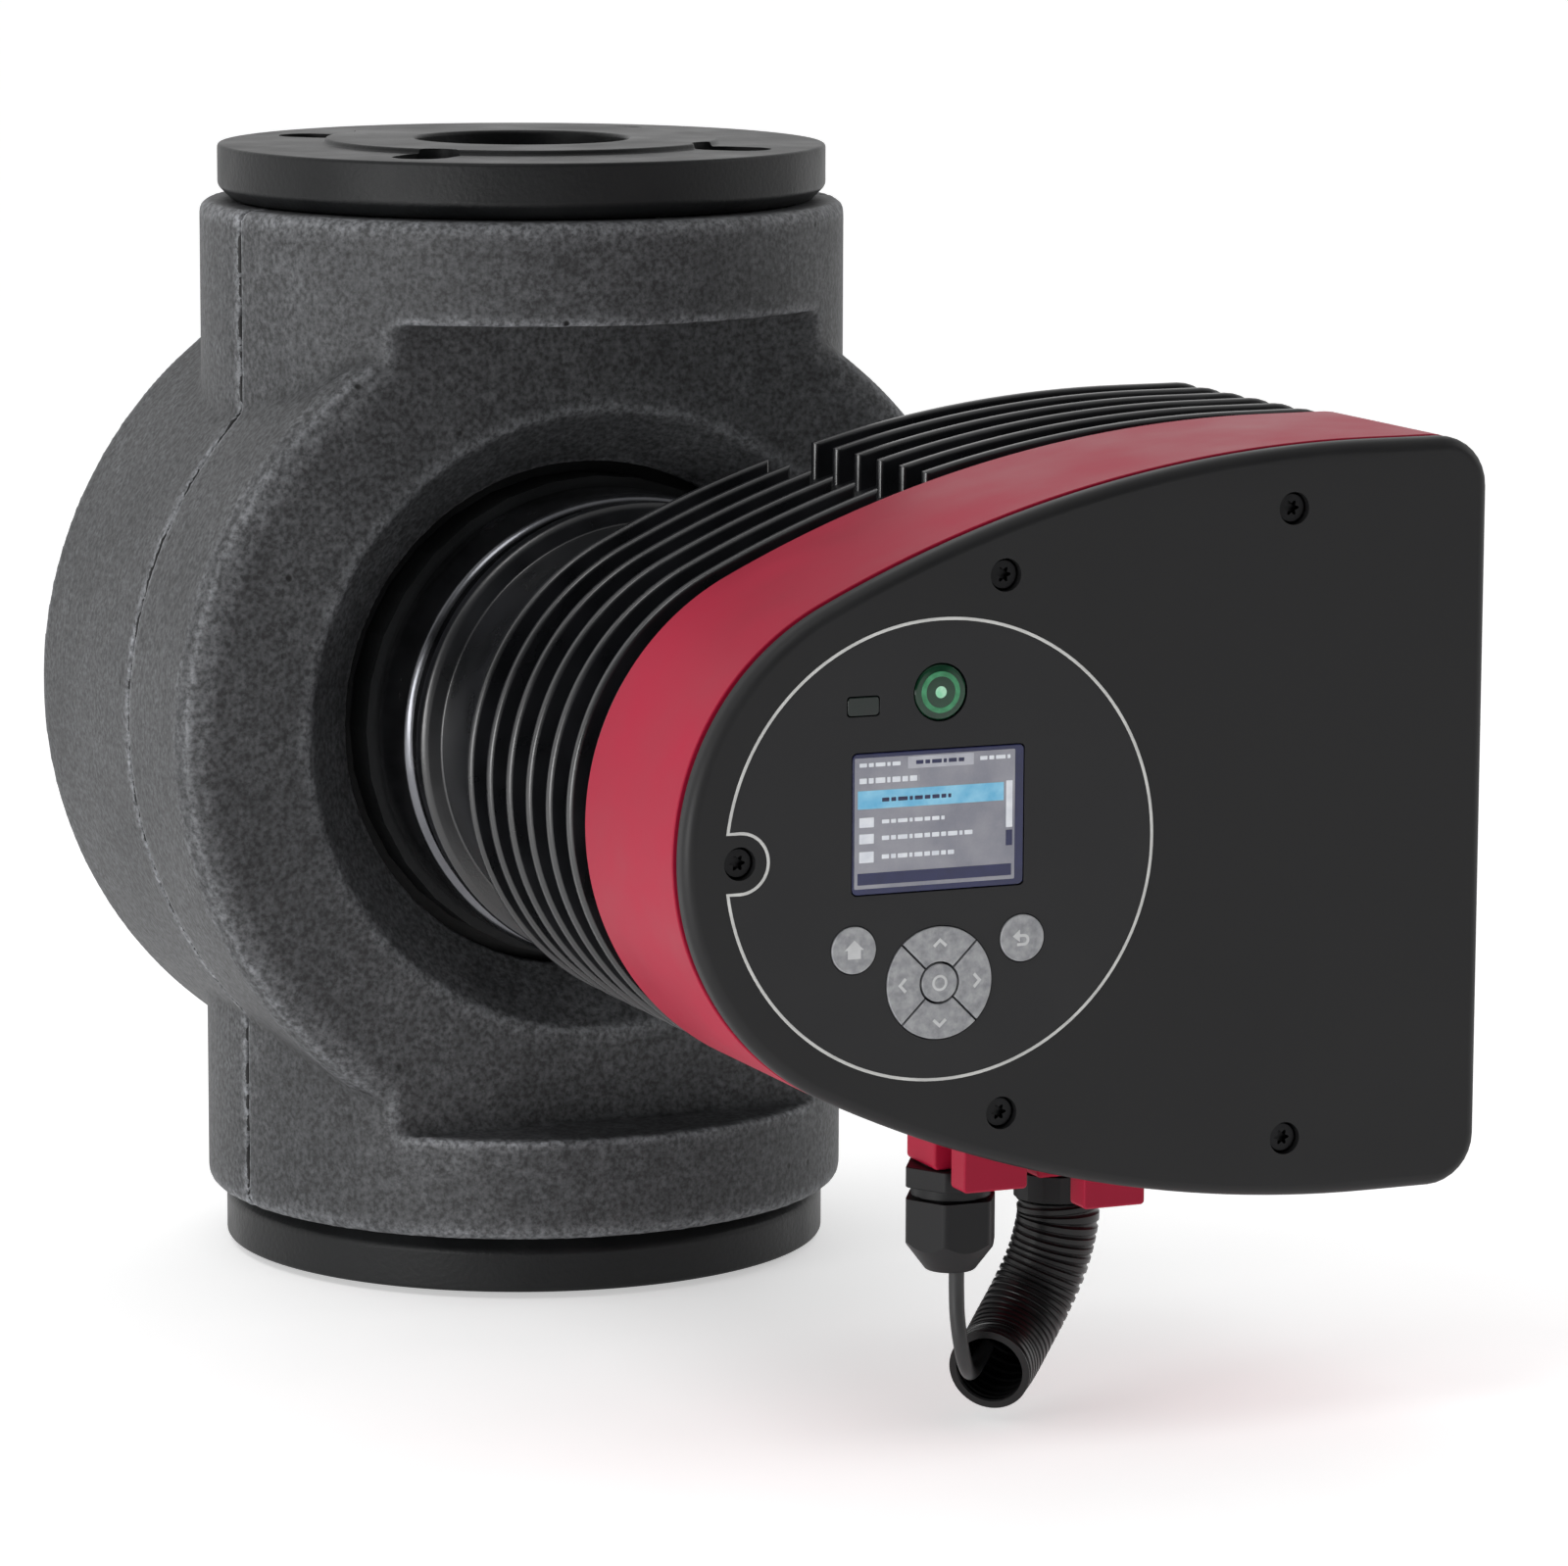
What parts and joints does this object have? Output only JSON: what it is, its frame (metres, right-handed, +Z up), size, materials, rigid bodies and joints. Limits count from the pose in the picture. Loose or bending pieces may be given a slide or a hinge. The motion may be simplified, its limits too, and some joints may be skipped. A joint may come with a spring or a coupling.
{
  "type": "circulator pump",
  "caption": "In-line wet-rotor circulator pump with two flanged pipe ports, foam insulation shells, finned motor and a control box with screen and keys.",
  "frame": {"origin": "where the pipe axis crosses the shaft axis", "axes": "+Z up along the pipe, +Y along the shaft from the control box to the back of the pump, +X to the right seen from the front"},
  "size_m": [0.298, 0.4106, 0.34],
  "materials": {
    "cast_iron_black": "black enamel on cast iron",
    "foam_grey": "moulded bead foam",
    "cast_black": "black coated die-cast aluminium",
    "plastic_red": "moulded satin",
    "plastic_black": "fine-textured moulding",
    "panel_black": "film overlay",
    "steel_bright": "machined",
    "steel_black": "black coated",
    "bronze": "sintered bronze",
    "copper_winding": "enamelled wire",
    "rubber_black": "moulded",
    "key_grey": "moulded satin",
    "window": "clear window",
    "lens_green": "tinted lens",
    "board_green": "coated board",
    "plate_silver": "satin"
  },
  "bodies": {
    "pump": {"pump_housing": "cast_iron_black", "eye_ring": "bronze", "flow_sensor": "plastic_black", "insulation_front": "foam_grey", "insulation_rear": "foam_grey", "stator_housing": "cast_black", "clamp_ring": "steel_black", "clamp_screw": "steel_bright", "stator_core": "steel_bright", "winding_front": "copper_winding", "winding_rear": "copper_winding", "rotor_can": "steel_bright", "rear_bearing": "bronze", "front_bearing": "bronze", "bearing_plate": "steel_bright", "housing_seal": "rubber_black", "control_frame": "plastic_red", "frame_gasket": "rubber_black", "control_cover": "plastic_black", "display_panel": "panel_black", "display_window": "window", "display_module": "steel_bright", "indicator_lens": "lens_green", "status_window": "lens_green", "cover_screw_1": "steel_black", "cover_screw_2": "steel_black", "cover_screw_3": "steel_black", "cover_screw_4": "steel_black", "cover_screw_5": "steel_black", "key_mat": "key_grey", "control_board": "board_green", "power_board": "board_green", "capacitor_1": "plastic_black", "capacitor_2": "plastic_black", "terminal_block": "plastic_black", "nameplate": "plate_silver", "gland_body": "plastic_black", "gland_seal": "rubber_black", "gland_nut": "plastic_black", "conduit_adapter": "plastic_black", "conduit": "plastic_black", "sensor_lead": "rubber_black"},
    "rotor": {"shaft": "steel_bright", "impeller": "steel_bright", "impeller_nut": "steel_bright", "rotor_core": "steel_bright", "thrust_disc": "bronze"},
    "up_key": {"key_up": "key_grey"},
    "down_key": {"key_down": "key_grey"},
    "left_key": {"key_left": "key_grey"},
    "right_key": {"key_right": "key_grey"},
    "ok_key": {"key_ok": "key_grey"},
    "home_key": {"key_home": "key_grey"},
    "back_key": {"key_back": "key_grey"}
  },
  "joints": [
    {"name": "rotor_spin", "type": "hinge", "parent": "pump", "child": "rotor", "pos_m": [0, 0, 0], "axis": [0, 1, 0], "continuous": true},
    {"name": "up_press", "type": "slide", "parent": "pump", "child": "up_key", "axis": [0, 1, 0], "range_m": [0, 0.0007], "stiffness_N_per_m": 1500},
    {"name": "down_press", "type": "slide", "parent": "pump", "child": "down_key", "axis": [0, 1, 0], "range_m": [0, 0.0007], "stiffness_N_per_m": 1500},
    {"name": "left_press", "type": "slide", "parent": "pump", "child": "left_key", "axis": [0, 1, 0], "range_m": [0, 0.0007], "stiffness_N_per_m": 1500},
    {"name": "right_press", "type": "slide", "parent": "pump", "child": "right_key", "axis": [0, 1, 0], "range_m": [0, 0.0007], "stiffness_N_per_m": 1500},
    {"name": "ok_press", "type": "slide", "parent": "pump", "child": "ok_key", "axis": [0, 1, 0], "range_m": [0, 0.0007], "stiffness_N_per_m": 1500},
    {"name": "home_press", "type": "slide", "parent": "pump", "child": "home_key", "axis": [0, 1, 0], "range_m": [0, 0.0007], "stiffness_N_per_m": 1500},
    {"name": "back_press", "type": "slide", "parent": "pump", "child": "back_key", "axis": [0, 1, 0], "range_m": [0, 0.0007], "stiffness_N_per_m": 1500}
  ]
}
